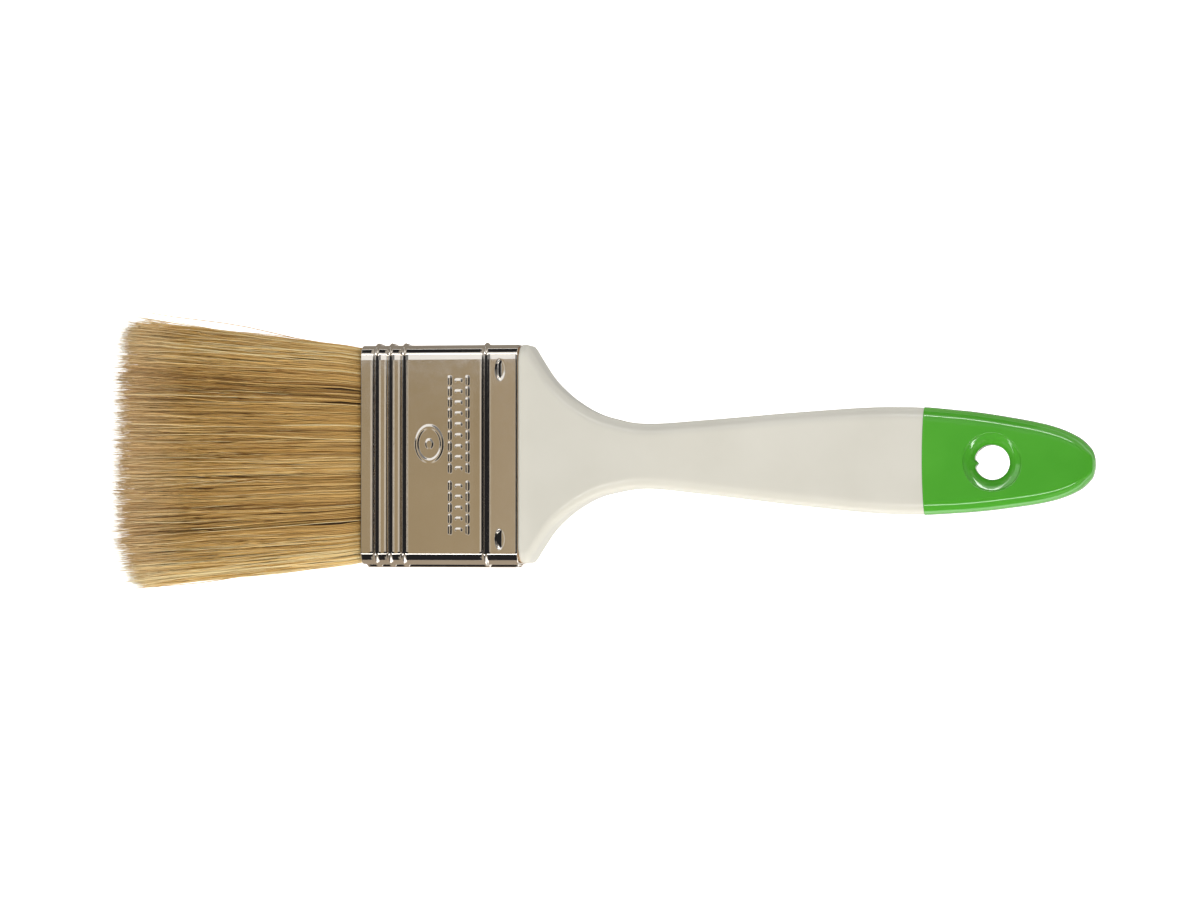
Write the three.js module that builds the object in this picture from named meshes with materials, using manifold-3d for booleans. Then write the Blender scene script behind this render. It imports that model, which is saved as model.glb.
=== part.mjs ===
// Flat paint brush, 2 inch (50 mm) size, lying on its back.
// Millimetres, +Z up. X runs along the brush with the handle's tip at +X and the bristle tips at -X,
// Y runs across its width. The origin is under the middle of the brush, on the surface it lies on.
import * as THREE from "three";
import { mergeVertices } from "three/addons/utils/BufferGeometryUtils.js";
import Module from "manifold-3d";

const wasm = await Module();
wasm.setup();

// ---- Driving dimensions ----
const BRISTLE_OUT = 61.5; // bristle length that shows, from the ferrule's mouth to the tips
const FERRULE_LENGTH = 36.5;
const HANDLE_OUT = 130; // handle length that shows, from the ferrule to the tip
const FERRULE_WIDTH = 50.2;
const FERRULE_THICK = 15;
const FERRULE_CORNER = 3.3; // outer corner radius
const SHEET = 0.4; // steel sheet of the ferrule
const BEAD_HEIGHT = 0.55;
const BEAD_HALF = 1.05; // half the width of a rolled bead
const BEADS_FROM_MOUTH = [3.6, 6.8, 10, 29];
const STAKE_FROM_END = 3.9; // stakes: dents that lock the ferrule on the tenon
const STAKE_Y = 19.3;
const STAKE_RADII = [1.1, 2.4, 1.1];
const SEAM_HALF = 2.6; // half the height of the lock seam on the narrow side
const SEAM_PROUD = 0.75;
const SEAM_FROM_END = 0.4;
const GAP = 0.3; // between neighbouring solids
const COAT = 0.4; // lacquer thickness
const TENON = 14; // length of bare wood inside the ferrule
const EPOXY = 6.7;
const BANK_SLACK = 0.4; // each side of the bristle banks in the ferrule
const PLUG_HALF = 1.6; // half the thickness of the spacer plug
const PLUG_SLACK = 1.4; // each side of the plug, beyond the banks'
const EDGE_RADIUS = 3; // rounded long edges of the handle
const LAND = 2.2; // the shoulder's straight stretch, a little proud of the ferrule
const LAND_HALF_WIDTH = 25.2;
const ASKEW = 0.02; // the handle strays this much towards -Y for each mm from the shoulder
const DIP_FROM_SHOULDER = 91.3; // where the dipped colour begins
const HOLE_FROM_TIP = 23;
const HOLE_RADIUS = 3.9;
const DISH = [
  // the rounded edge of the hanging hole: [beyond its radius, below the handle's face]
  [0, 2.5],
  [0.5, 1.8],
  [1.5, 1.05],
  [2.6, 0.35],
  [3.3, 0],
  [5.6, -0.6],
];
const FLEX_RADIUS = 5.9; // the moving bristles turn about the mouth on a round root of this radius
const SOCKET_RADIUS = 7.2; // the fixed roots leave this much room for it
const TUFTS = 5; // tufts across each bank
const TIP_HALF = 30.6; // half the width that the bristles fan out to

// ---- Derived places ----
const LENGTH = BRISTLE_OUT + FERRULE_LENGTH + HANDLE_OUT;
const MOUTH = -LENGTH / 2 + BRISTLE_OUT;
const SHOULDER = MOUTH + FERRULE_LENGTH;
const TIP = LENGTH / 2;
const DIP = SHOULDER + DIP_FROM_SHOULDER;
const HOLE = TIP - HOLE_FROM_TIP;
const MID = FERRULE_THICK / 2 + BEAD_HEIGHT; // height of the brush's middle plane
const TENON_END = SHOULDER - TENON;
const EPOXY_END = TENON_END - GAP - EPOXY;
const ROOT_END = EPOXY_END - GAP; // where the free roots begin
const CORE_HALF_W = FERRULE_WIDTH / 2 - SHEET - GAP; // what fits inside the ferrule
const CORE_HALF_T = FERRULE_THICK / 2 - SHEET - GAP;
const CORE_CORNER = FERRULE_CORNER - SHEET - GAP;
const BANK_HALF_W = CORE_HALF_W - BANK_SLACK;

// ---- Fineness of the round shapes ----
const FLEX_SIDES = 48;
const HOLE_SIDES = 24;
const RIM_STEPS = 6;
const STAKE_SIDES = [10, 6];
const FULLEST = 0.95; // the largest corner radius, as a share of the half size
const WELD = 1e-4; // vertices closer than this are one
const FAR = 200; // beyond the whole brush, for cutting blocks

// Handle outlines from the shoulder: [distance, half size]
const HANDLE_WIDTH = outline([
  [LAND, LAND_HALF_WIDTH],
  [3.7, 22.5],
  [6.4, 18.1],
  [9.4, 14.9],
  [12.5, 12.7],
  [16.9, 10.2],
  [22, 8.4],
  [29.6, 7.5],
  [43, 8.6],
  [64, 10.7],
  [78, 11.9],
  [86, 12.2],
  [97, 11.8],
  [108, 10.65],
  [117, 9.2],
  [123, 7.7],
  [126.7, 5.9],
  [129, 3.6],
  [HANDLE_OUT, 1],
]);
const HANDLE_HALF_THICK = outline([
  [0, 7.6],
  [4, 7.5],
  [14, 6.6],
  [29, 5.9],
  [50, 6.4],
  [80, 7.1],
  [100, 6.7],
  [114, 5.7],
  [124, 4.5],
  [128.5, 2.9],
  [HANDLE_OUT, 0.8],
]);
const HANDLE_STATIONS = [LAND, 3.8, 6.4, 9.6, 13, 18, 24, 32, 46, 62, 78, 90];
const TIP_STATIONS = [100, 108, 115, 121, 125, 127.6, 129.2, HANDLE_OUT];

// ---- Solids ----
function outline(points) {
  return new THREE.SplineCurve(points.map(([x, y]) => new THREE.Vector2(x, y)));
}

// The outline's size and slope at a distance x, by halving the interval of the curve's parameter.
function sizeAt(curve, x) {
  let low = 0;
  let high = 1;
  for (let i = 0; i < 40; i++) {
    const middle = (low + high) / 2;
    if (curve.getPoint(middle).x < x) low = middle;
    else high = middle;
  }
  const along = curve.getTangent(high);
  return { size: curve.getPoint(high).y, slope: along.y / along.x };
}

// A rounded rectangle across X, as a ring of points.
function ring(x, halfWidth, halfThick, corner, steps = 4) {
  const r = Math.min(corner, halfWidth * FULLEST, halfThick * FULLEST);
  const points = [];
  for (const [sy, sz, start] of [
    [1, 1, 0],
    [-1, 1, 1],
    [-1, -1, 2],
    [1, -1, 3],
  ]) {
    for (let i = 0; i <= steps; i++) {
      const a = ((start + i / steps) * Math.PI) / 2;
      points.push([
        x,
        sy * (halfWidth - r) + r * Math.cos(a),
        MID + sz * (halfThick - r) + r * Math.sin(a),
      ]);
    }
  }
  return points;
}

// A closed body through rings of equal count, along +X.
function loft(rings) {
  const n = rings[0].length;
  const positions = rings.flat();
  const faces = [];
  for (let k = 0; k + 1 < rings.length; k++) {
    for (let i = 0; i < n; i++) {
      const a = k * n + i;
      const b = k * n + ((i + 1) % n);
      faces.push(a, b, a + n, b, b + n, a + n);
    }
  }
  const last = (rings.length - 1) * n;
  for (let i = 1; i + 1 < n; i++) {
    faces.push(0, i + 1, i);
    faces.push(last, last + i, last + i + 1);
  }
  const g = new THREE.BufferGeometry();
  g.setAttribute("position", new THREE.Float32BufferAttribute(positions.flat(), 3));
  g.setIndex(faces);
  return solid(g);
}

function solid(geometry) {
  const g = geometry.clone();
  g.deleteAttribute("normal");
  g.deleteAttribute("uv");
  const merged = mergeVertices(g, WELD);
  const made = new wasm.Manifold(
    new wasm.Mesh({
      numProp: 3,
      vertProperties: merged.attributes.position.array,
      triVerts: new Uint32Array(merged.index.array),
    }),
  );
  if (made.volume() < 0) throw new Error("a solid is inside out");
  return made;
}

function block(x0, x1, y0, y1, z0, z1) {
  const g = new THREE.BoxGeometry(x1 - x0, y1 - y0, z1 - z0);
  g.translate((x0 + x1) / 2, (y0 + y1) / 2, (z0 + z1) / 2);
  return solid(g);
}

// A cylinder along Y, about the line that the bristles flex on.
function flexCylinder(radius) {
  const g = new THREE.CylinderGeometry(radius, radius, FERRULE_WIDTH * 2, FLEX_SIDES);
  g.translate(MOUTH, 0, MID);
  return solid(g);
}

// How far the handle's middle line lies off the brush's own at x.
function strayAt(x) {
  return ASKEW * Math.max(x - SHOULDER, 0);
}

// The body of the handle from the first station to the last, with its surface set in by inset.
function handleBody(stations, inset) {
  const rings = stations.map((s) => {
    const onLand = s < LAND;
    const width = onLand ? { size: LAND_HALF_WIDTH, slope: 0 } : sizeAt(HANDLE_WIDTH, s);
    const thick = sizeAt(HANDLE_HALF_THICK, s);
    const across = Math.hypot(1, width.slope);
    const straight = ring(
      SHOULDER + s + (inset * width.slope) / across,
      Math.min(width.size - inset / across, LAND_HALF_WIDTH - inset),
      Math.max(thick.size - inset * Math.min(Math.hypot(1, thick.slope), 1.5), 0.2),
      EDGE_RADIUS - inset,
    );
    return straight.map(([x, y, z]) => [x, y - strayAt(x), z]);
  });
  return loft(rings);
}

// What the hanging hole takes away, with a rounded edge on both faces, grown all round by grow.
function holeCutter(grow) {
  const half = sizeAt(HANDLE_HALF_THICK, HANDLE_OUT - HOLE_FROM_TIP).size;
  const above = half + FERRULE_THICK;
  const edge = outline(DISH.map(([out, below]) => [HOLE_RADIUS + out, half - below]));
  const rim = [];
  for (let i = 0; i <= RIM_STEPS; i++) {
    const point = edge.getPoint(i / RIM_STEPS);
    const along = edge.getTangent(i / RIM_STEPS);
    rim.push([point.x + grow * along.y, point.y - grow * along.x]);
  }
  rim.push([rim.at(-1)[0], above]);
  const profile = [[0, -above]];
  for (const [r, z] of [...rim].reverse()) profile.push([r, -z]);
  profile.push(...rim, [0, above]);
  const g = new THREE.LatheGeometry(
    profile.map(([r, z]) => new THREE.Vector2(r, z)),
    HOLE_SIDES,
  );
  g.rotateX(Math.PI / 2);
  g.translate(HOLE, -strayAt(HOLE), MID);
  return solid(g);
}

// The four stakes' punch marks, grown all round by this much.
function stakes(grow) {
  const [rx, ry, rz] = STAKE_RADII;
  const spheres = [];
  for (const side of [-1, 1]) {
    for (const face of [-1, 1]) {
      const g = new THREE.SphereGeometry(1, ...STAKE_SIDES);
      g.scale(rx + grow, ry + grow, rz + grow);
      g.translate(
        SHOULDER - STAKE_FROM_END,
        side * STAKE_Y,
        MID + (face * FERRULE_THICK) / 2,
      );
      spheres.push(solid(g));
    }
  }
  return wasm.Manifold.union(spheres);
}

function beadAt(fromMouth) {
  let height = 0;
  for (const centre of BEADS_FROM_MOUTH) {
    const d = Math.abs(fromMouth - centre) / BEAD_HALF;
    if (d < 1) height += (BEAD_HEIGHT * (1 + Math.cos(Math.PI * d))) / 2;
  }
  return height;
}

function ferruleBody(inset, over) {
  const shares = [-1, -0.6, -0.25, 0.25, 0.6, 1];
  const places = [0];
  for (const centre of BEADS_FROM_MOUTH)
    for (const share of shares) places.push(centre + share * BEAD_HALF);
  places.push(FERRULE_LENGTH);
  const rings = places.map((s, i) => {
    const end = i === 0 ? -over : i === places.length - 1 ? over : 0;
    const flat = Math.abs(beadAt(s) - BEAD_HEIGHT) < BEAD_HEIGHT * 0.15;
    const rise = (flat ? BEAD_HEIGHT : beadAt(s)) - inset;
    return ring(
      MOUTH + s + end,
      FERRULE_WIDTH / 2 + rise,
      FERRULE_THICK / 2 + rise,
      FERRULE_CORNER + rise,
    );
  });
  return loft(rings);
}

// A steel band with rolled beads, a lock seam on one narrow side and four stakes.
function ferrule() {
  const half = FERRULE_WIDTH / 2;
  const seam = block(
    MOUTH + SEAM_FROM_END,
    SHOULDER - SEAM_FROM_END,
    -half - SEAM_PROUD,
    -half + SHEET / 2,
    MID - SEAM_HALF,
    MID + SEAM_HALF,
  );
  const inside = ferruleBody(SHEET, 1);
  const cups = stakes(SHEET).intersect(
    block(MOUTH, SHOULDER, -half, half, MID - FERRULE_THICK / 2, MID + FERRULE_THICK / 2),
  );
  return ferruleBody(0, 0).add(seam).subtract(inside).add(cups).subtract(stakes(0));
}

function handleCore() {
  const tenon = loft([
    ring(TENON_END, CORE_HALF_W, CORE_HALF_T, CORE_CORNER),
    ring(SHOULDER + 2, CORE_HALF_W, CORE_HALF_T, CORE_CORNER),
  ]);
  return handleBody([GAP, ...HANDLE_STATIONS, ...TIP_STATIONS], COAT + GAP)
    .add(tenon)
    .subtract(stakes(SHEET + GAP))
    .subtract(holeCutter(COAT + GAP));
}

// The white coat, from the shoulder to where the dipped colour begins.
function handleLacquer() {
  const outside = handleBody([GAP, ...HANDLE_STATIONS, DIP_FROM_SHOULDER - GAP / 2], 0);
  return outside.subtract(handleBody([-1, ...HANDLE_STATIONS, DIP_FROM_SHOULDER + 1], COAT));
}

// The dipped colour on the handle's end, which also lines the hanging hole.
function tipDipCoat() {
  const outside = handleBody([DIP_FROM_SHOULDER + GAP / 2, ...TIP_STATIONS], 0);
  const inside = handleBody([DIP_FROM_SHOULDER - 1, ...TIP_STATIONS], COAT);
  return outside.subtract(inside.subtract(holeCutter(COAT))).subtract(holeCutter(0));
}

function epoxySet() {
  return loft([
    ring(EPOXY_END, CORE_HALF_W, CORE_HALF_T, CORE_CORNER),
    ring(TENON_END - GAP, CORE_HALF_W, CORE_HALF_T, CORE_CORNER),
  ]);
}

// A wooden strip that parts the two banks and leaves a paint reservoir past its thin edge.
function spacerPlug() {
  return loft([
    ring(MOUTH + SOCKET_RADIUS, BANK_HALF_W - PLUG_SLACK, PLUG_HALF * 0.6, 0.6, 2),
    ring(ROOT_END, BANK_HALF_W - PLUG_SLACK, PLUG_HALF, 0.8, 2),
  ]);
}

// The roots of one bank, held in the ferrule. face is 1 for the front bank and -1 for the back one.
function bristleRoots(face) {
  const whole = loft([
    ring(MOUTH + GAP, CORE_HALF_W, CORE_HALF_T, CORE_CORNER),
    ring(ROOT_END, CORE_HALF_W, CORE_HALF_T, CORE_CORNER),
  ]);
  const near = MID + face * (PLUG_HALF + GAP);
  const far = MID + face * FERRULE_THICK;
  const half = block(-FAR, FAR, -FAR, FAR, Math.min(near, far), Math.max(near, far));
  return whole.intersect(half).subtract(flexCylinder(SOCKET_RADIUS));
}

// All the bristles that show, both banks in one, with their round root at the mouth.
function bristleBundle() {
  const fan = [
    [-FLEX_RADIUS, BANK_HALF_W, FLEX_RADIUS],
    [0, BANK_HALF_W, FLEX_RADIUS],
    [4, BANK_HALF_W + 0.3, FLEX_RADIUS],
    [16, 26, 6.6],
    [BRISTLE_OUT - 5, TIP_HALF, 5.6],
    [BRISTLE_OUT, TIP_HALF - 3, 5.1],
  ];
  const rings = fan
    .map(([out, halfWidth, halfThick]) => ring(MOUTH - out, halfWidth, halfThick, 3.6, 3))
    .reverse();
  const room = flexCylinder(FLEX_RADIUS).add(block(-FAR, MOUTH, -FAR, FAR, -FAR, FAR));
  const reservoir = new THREE.Shape([
    new THREE.Vector2(MOUTH + FLEX_RADIUS + 1, MID - PLUG_HALF),
    new THREE.Vector2(MOUTH + FLEX_RADIUS + 1, MID + PLUG_HALF),
    new THREE.Vector2(MOUTH - BRISTLE_OUT * 0.7, MID + GAP / 2),
    new THREE.Vector2(-LENGTH, MID + GAP / 2),
    new THREE.Vector2(-LENGTH, MID - GAP / 2),
    new THREE.Vector2(MOUTH - BRISTLE_OUT * 0.7, MID - GAP / 2),
  ]);
  const g = new THREE.ExtrudeGeometry(reservoir, { depth: 2 * FAR, bevelEnabled: false });
  g.rotateX(Math.PI / 2);
  g.translate(0, FAR, 0);
  return loft(rings).intersect(room).subtract(solid(g));
}

// One tuft: a slice of a bank between two lines that fan out with the bristles.
function tuft(bundle, face, index) {
  const line = (i, out) => {
    const share = (2 * i) / TUFTS - 1;
    return share * (BANK_HALF_W + ((TIP_HALF - BANK_HALF_W) * Math.max(out, 0)) / BRISTLE_OUT);
  };
  const side = (i, shift) => {
    const edge = i === 0 ? -3 : i === TUFTS ? 3 : 0; // the outer tufts keep the bundle's own side
    return [-FLEX_RADIUS, 0, BRISTLE_OUT + 1].map(
      (out) => new THREE.Vector2(MOUTH - out, line(i, out) + shift + edge),
    );
  };
  const slice = new THREE.Shape([
    ...side(index, GAP / 2),
    ...side(index + 1, -GAP / 2).reverse(),
  ]);
  const g = new THREE.ExtrudeGeometry(slice, { depth: FERRULE_THICK, bevelEnabled: false });
  g.translate(0, 0, face > 0 ? MID : MID - FERRULE_THICK);
  return bundle.intersect(solid(g));
}

// ---- Assembly ----
const finishes = {
  wood: { color: 0xc9a878, roughness: 0.7, metalness: 0 },
  lacquer: { color: 0xdedbd0, roughness: 0.2, metalness: 0 },
  dip: { color: 0x4fa832, roughness: 0.15, metalness: 0 },
  nickel: { color: 0xa89b86, roughness: 0.2, metalness: 1 },
  epoxy: { color: 0x8c7a52, roughness: 0.4, metalness: 0 },
  bristle: { color: 0xb8924f, roughness: 0.6, metalness: 0 },
};
const brush = new THREE.Group();

function place(name, made, finish) {
  const { triVerts, vertProperties, numProp } = made.getMesh();
  const positions = new Float32Array((vertProperties.length / numProp) * 3);
  for (let i = 0; i < positions.length / 3; i++)
    positions.set(vertProperties.subarray(i * numProp, i * numProp + 3), i * 3);
  const g = new THREE.BufferGeometry();
  g.setAttribute("position", new THREE.BufferAttribute(positions, 3));
  g.setIndex(new THREE.BufferAttribute(triVerts, 1));
  g.computeVertexNormals();
  const mesh = new THREE.Mesh(g, new THREE.MeshStandardMaterial(finishes[finish]));
  mesh.name = name;
  brush.add(mesh);
}

place("handle_core", handleCore(), "wood");
place("handle_lacquer", handleLacquer(), "lacquer");
place("tip_dip_coat", tipDipCoat(), "dip");
place("ferrule", ferrule(), "nickel");
place("epoxy_set", epoxySet(), "epoxy");
place("spacer_plug", spacerPlug(), "wood");
const bundle = bristleBundle();
for (const [bank, face] of [
  ["front", 1],
  ["back", -1],
]) {
  place(`bristle_roots_${bank}`, bristleRoots(face), "bristle");
  for (let i = 0; i < TUFTS; i++)
    place(`bristles_${bank}_${i + 1}`, tuft(bundle, face, i), "bristle");
}

export default brush;
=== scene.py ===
"""A flat paint brush with natural bristles: its looks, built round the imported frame. Metres, +Z up."""

import math

import bmesh
import bpy
import numpy as np
from mathutils import Matrix, Vector

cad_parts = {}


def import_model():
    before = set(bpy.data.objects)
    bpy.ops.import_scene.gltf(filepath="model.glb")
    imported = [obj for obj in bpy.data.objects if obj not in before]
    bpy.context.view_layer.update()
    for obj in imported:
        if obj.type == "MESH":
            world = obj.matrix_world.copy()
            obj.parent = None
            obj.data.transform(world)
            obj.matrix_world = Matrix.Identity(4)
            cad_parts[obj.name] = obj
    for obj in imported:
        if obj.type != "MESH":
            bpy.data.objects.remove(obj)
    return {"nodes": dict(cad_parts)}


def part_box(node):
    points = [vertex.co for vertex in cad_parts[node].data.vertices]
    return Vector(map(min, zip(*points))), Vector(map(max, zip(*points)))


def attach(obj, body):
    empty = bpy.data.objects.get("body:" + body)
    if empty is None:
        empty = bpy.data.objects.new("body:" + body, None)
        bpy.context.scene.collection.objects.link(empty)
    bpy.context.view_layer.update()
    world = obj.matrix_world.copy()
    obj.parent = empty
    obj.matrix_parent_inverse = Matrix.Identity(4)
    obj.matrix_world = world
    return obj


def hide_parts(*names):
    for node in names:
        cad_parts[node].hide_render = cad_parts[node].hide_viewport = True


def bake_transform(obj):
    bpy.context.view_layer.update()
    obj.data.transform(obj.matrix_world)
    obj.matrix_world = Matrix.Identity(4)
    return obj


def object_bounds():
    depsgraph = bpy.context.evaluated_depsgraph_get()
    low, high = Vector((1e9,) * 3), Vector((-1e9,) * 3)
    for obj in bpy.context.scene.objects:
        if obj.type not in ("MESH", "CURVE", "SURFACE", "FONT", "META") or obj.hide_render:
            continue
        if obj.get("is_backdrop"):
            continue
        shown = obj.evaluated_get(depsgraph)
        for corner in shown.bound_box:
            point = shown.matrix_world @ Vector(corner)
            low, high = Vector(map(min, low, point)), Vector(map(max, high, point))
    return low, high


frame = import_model()
cad_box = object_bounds()

MM = 0.001
CURVE_STEPS = 24  # between two points of an outline

# ---- Places taken from the frame ----
ferrule_low, ferrule_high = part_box("ferrule")
dip_low, dip_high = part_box("tip_dip_coat")
MOUTH = ferrule_low.x
SHOULDER = ferrule_high.x
TIP = dip_high.x
DIP = dip_low.x
MID = (ferrule_low.z + ferrule_high.z) / 2
BRISTLE_END = cad_box[0].x
HANDLE_OUT = TIP - SHOULDER
FERRULE_LENGTH = SHOULDER - MOUTH
BRISTLE_OUT = MOUTH - BRISTLE_END

# ---- Ferrule ----
BEAD_HEIGHT = 0.55 * MM
BEAD_DOME = 0.74 * MM  # half the width of a rolled bead
BEAD_SKIRT = 1.25 * MM  # and of the gentle slopes at its foot
SKIRT_RISE = 0.03 * MM
BEADS_FROM_MOUTH = [3.6 * MM, 6.8 * MM, 10 * MM, 29 * MM]
FERRULE_HALF_W = ferrule_high.y - BEAD_HEIGHT
FERRULE_HALF_T = ferrule_high.z - MID - BEAD_HEIGHT
FERRULE_CORNER = 3.3 * MM
SHEET = 0.4 * MM
LIP_TURN = 1.4  # how far the sheet's rounded edge at the mouth turns to each side, in radians
LIP_ROWS = 7
END_INSET = 0.05 * MM  # how far the band's other end is rounded in
INNER_ROWS = [30 * MM, 20 * MM, 10 * MM, 3 * MM]  # rows inside the band, from the mouth
SEAM_PROUD = -ferrule_low.y - FERRULE_HALF_W
SEAM_EDGE = (2.15 * MM, 2.75 * MM)  # the folded seam falls off to the band between these heights
SEAM_ENDS = (0.3 * MM, 0.6 * MM)  # and rises between these distances from each end
STAKE_FROM_END = 3.9 * MM
STAKE_Y = 19.3 * MM
STAKE_HALF = (1.1 * MM, 2.4 * MM)
STAKE_DEPTH = 0.45 * MM
STAKE_RIM = (0.72, 1.05)  # shares of a stake's half size over which its rim falls
STAKE_BITE = (-0.65, 0.35)  # the floor of a stake rises between these shares of its half length
STAKE_SHALLOW = 0.92  # and by this share of the depth
EMBOSS_HEIGHT = 0.055 * MM
EMBOSS_EDGE = 0.13 * MM
BAR_ROWS = [20.9 * MM, 25.0 * MM]  # the embossed bars' rows, from the mouth
BAR_LENGTH = 1.5 * MM
BAR_WIDTH = 0.6 * MM
STUD_ROW = 22.95 * MM
STUD_LENGTH = 0.9 * MM
MARK_PITCH = 2.5 * MM
MARK_GROUPS = [(-17.2 * MM, 5), (-3.2 * MM, 9)]  # first mark's place and how many
RING_PLACE = (16.1 * MM, 2.4 * MM)  # embossed ring, from the mouth and across
RING_HALF = (2.9 * MM, 3.9 * MM)
RING_DOT = 0.8 * MM

# ---- How closely the ferrule's surface is divided ----
FRONT_COLUMNS = 260
BACK_COLUMNS = FRONT_COLUMNS // 4
PLAIN_SIDE_COLUMNS = 9
SEAM_SIDE_COLUMNS = 43
CORNER_COLUMNS = 12
BEAD_STATIONS = 23
PLAIN_STATIONS = 14
EMBOSSED_SPAN = (12.2 * MM, 26.3 * MM)  # from the mouth
EMBOSSED_STEP = 0.17 * MM
STAKE_SPAN = 1.5 * MM  # to each side of a stake's middle
STAKE_STEP = 0.14 * MM
END_STATIONS = [0.45 * MM, 0.8 * MM, 1.3 * MM]  # from both ends
LEAST_STEP = 0.05 * MM

# ---- Handle outlines: [distance from the ferrule, half size], in mm ----
HANDLE_WIDTH = [
    (0, 24.4),
    (1.2, 24.95),
    (2.2, 24.7),
    (4.0, 21.9),
    (6.8, 17.75),
    (9.6, 14.85),
    (12.4, 12.6),
    (16.4, 10.2),
    (20.8, 8.65),
    (29, 7.4),
    (42.9, 8.45),
    (64.8, 10.6),
    (84, 12.0),
    (100, 11.5),
    (113, 9.85),
    (121, 8.2),
    (126.3, 5.95),
    (128.9, 3.6),
    (129.7, 1.9),
    (130, 0.05),
]
HANDLE_THICK = [
    (0, 7.6),
    (4, 7.5),
    (14, 6.6),
    (29, 5.9),
    (50, 6.4),
    (80, 7.1),
    (100, 6.7),
    (114, 5.7),
    (124, 4.5),
    (128.5, 2.9),
    (129.6, 1.7),
    (130, 0.04),
]
EDGE_RADIUS = 3 * MM
EDGE_LIMIT = 0.95  # the edge's radius takes at most this share of the half width or half thickness
FACE_SHARE = 0.82  # the share of the width that the face's columns cover
WHITE_COLUMNS = 44
GREEN_COLUMNS = 48
SIDE_COLUMNS = 22
COAT = 0.35 * MM
COAT_MERGE = 0.002 * MM  # a coat's points that lie nearer than this are joined
LIP = 0.13 * MM  # how far the dipped coat stands proud of the white one
LIP_FADE = (0.5 * MM, 9 * MM)  # and where it thins out, from the line between the coats
SINK = 0.3 * MM  # how far each coat's end dips at that line, to meet the other
TUCK = 0.45 * MM  # how far the white coat draws in at the ferrule
FERRULE_GAP = 0.15 * MM
DIP_BOW = 0.45 * MM  # how far the line between the coats bows at BOW_REACH from the middle
BOW_REACH = 12 * MM
BOW_FADE = 4 * MM
ASKEW = 0.02  # how far the handle strays towards -Y, for each unit from the shoulder
OFFSET = 0.15 * MM  # and sits towards +Y by this much at the shoulder
HOLE_FROM_TIP = 23 * MM
HOLE_RADIUS = 3.9 * MM
DISH = [  # [beyond the hole's radius, below the face], in mm
    (0, 2.5),
    (0.45, 1.8),
    (1.2, 1.08),
    (2.0, 0.68),
    (2.8, 0.37),
    (3.4, 0.15),
    (3.9, 0),
    (60, 0),
]
DISH_RADIUS = HOLE_RADIUS + 3.9 * MM  # where the dish meets the face
DISH_BLOCK = 8.2 * MM  # half the length of the rectangle that is taken out for the dish
BLOCK_ROWS = 40
FACE_RINGS = 5  # between the rectangle and the dish
DISH_RINGS = 24
HOLE_RINGS = 12  # down the hole, to the middle
NUB = 0.8 * MM  # a run of lacquer on the hole's edge
NUB_ANGLE = math.radians(184)
NUB_SPREAD = 0.17  # in radians
NUB_OUT = 1.2 * MM  # it starts this far out from the hole
NUB_DOWN = 1.3 * MM  # and runs about this far down it

# ---- Bristles ----
STRANDS = 2900  # in each bank
STRAND_SEGMENTS = 10
STRAND_SIDES = 3
STRAND_RADIUS = 0.125 * MM
STRAND_SIZES = (0.7, 1.2)  # shares of that radius
STRAND_TAPER = 0.45
BANK_HALF_W = [(-2, 24.2), (0, 24.3), (2, 24.8), (5, 25.3), (15, 26.2), (25, 27.1), (46, 29.0), (62, 30.2)]
BANK_HALF_T = [(-2, 6.7), (0, 6.8), (3, 7.1), (20, 7.0), (40, 6.4), (62, 5.4)]
# where the banks part at the mouth: [place across, half gap, how far it runs]
SPLITS = [(15.0 * MM, 0.34 * MM, 34 * MM), (12.0 * MM, 0.2 * MM, 12 * MM), (-15.6 * MM, 0.32 * MM, 24 * MM)]
SPLIT_SPREAD = 0.12  # a split drifts outwards by this share of its place over the bristles' length
SPLIT_CLOSES = 0.6  # the last share of a split, over which it closes
CROWDING = (24.8 * MM, 6.8 * MM)  # half size of a bank where its strands are set out
CROWDING_CORNER = 3.4 * MM
CROWDING_DEPTH = 1.1 * MM  # strands crowd in this depth under the surface
CORE_SHARE = 0.13  # and this share of the places further in is used as well
BANK_SCALE = np.array([25 * MM, 7 * MM])  # turns shares of a bank's half size into metres
ROOTS = 1.3 * MM  # strands start this far inside the mouth
STRAIGHT_OUT = 1.5 * MM  # and keep clear of its rim until this far out
RIM_CLEARANCE = 0.35 * MM
USUAL_BACK = 0.3 * MM  # a full strand ends this far inside the frame's bristles
LEAST_BACK = 0.2 * MM  # and none ends nearer to their end than this
CLUMPS = 900
CLUMP_PULL = (0.15, 0.72)  # how far a clump's strands draw together at the tips
CLUMP_LEAN = [0.75 * MM, 0.3 * MM]  # usual lean at the tips, across and through the bank
OWN_LEAN = [0.68 * MM, 0.3 * MM]
WILD_SHARE = 0.06  # of all strands
WILD_LEAN = [3.4, 1.6]  # times a strand's own lean
STRAY_SHARE = 0.07  # of the strands beyond STRAY_FROM, a share of the half width, at +Y
STRAY_FROM = 0.9
STRAY_LEAN = (1.2 * MM, 3.0 * MM)
CLUMP_LENGTH = 0.75 * MM  # usual difference in length between clumps
OWN_LENGTH = 1.35 * MM  # and within one
CROWN = 1.3 * MM  # how much shorter the bristles are at the edges than in the middle
CORNER_CUT = (1.2 * MM, 3.4 * MM)  # and at the corners besides: at +Y and at -Y
WAVE_PACE = (0.7, 1.7)  # waves in a strand's length
OWN_WAVE = 0.25 * MM
CLUMP_WAVE = 0.3 * MM
DEEP_WAVE = 0.14 * MM
PAINTED_EDGE_LIGHT = (0.22, 0.42)  # painted light: how much paler the strands are at the bundle's edges, at +Y and at -Y
PAINTED_EDGE_LIGHT_FROM = (0.65, 0.98)  # shares of the half width
OWN_SHADE, CLUMP_SHADE = 0.68, 0.46  # how much of a strand's shade is its own and its clump's
DARKER = 0.07  # taken off every strand's shade
HEART_INSET = 1.5 * MM  # the solid middle lies this far under the strands
HEART_CORNER = 2.2 * MM


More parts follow.
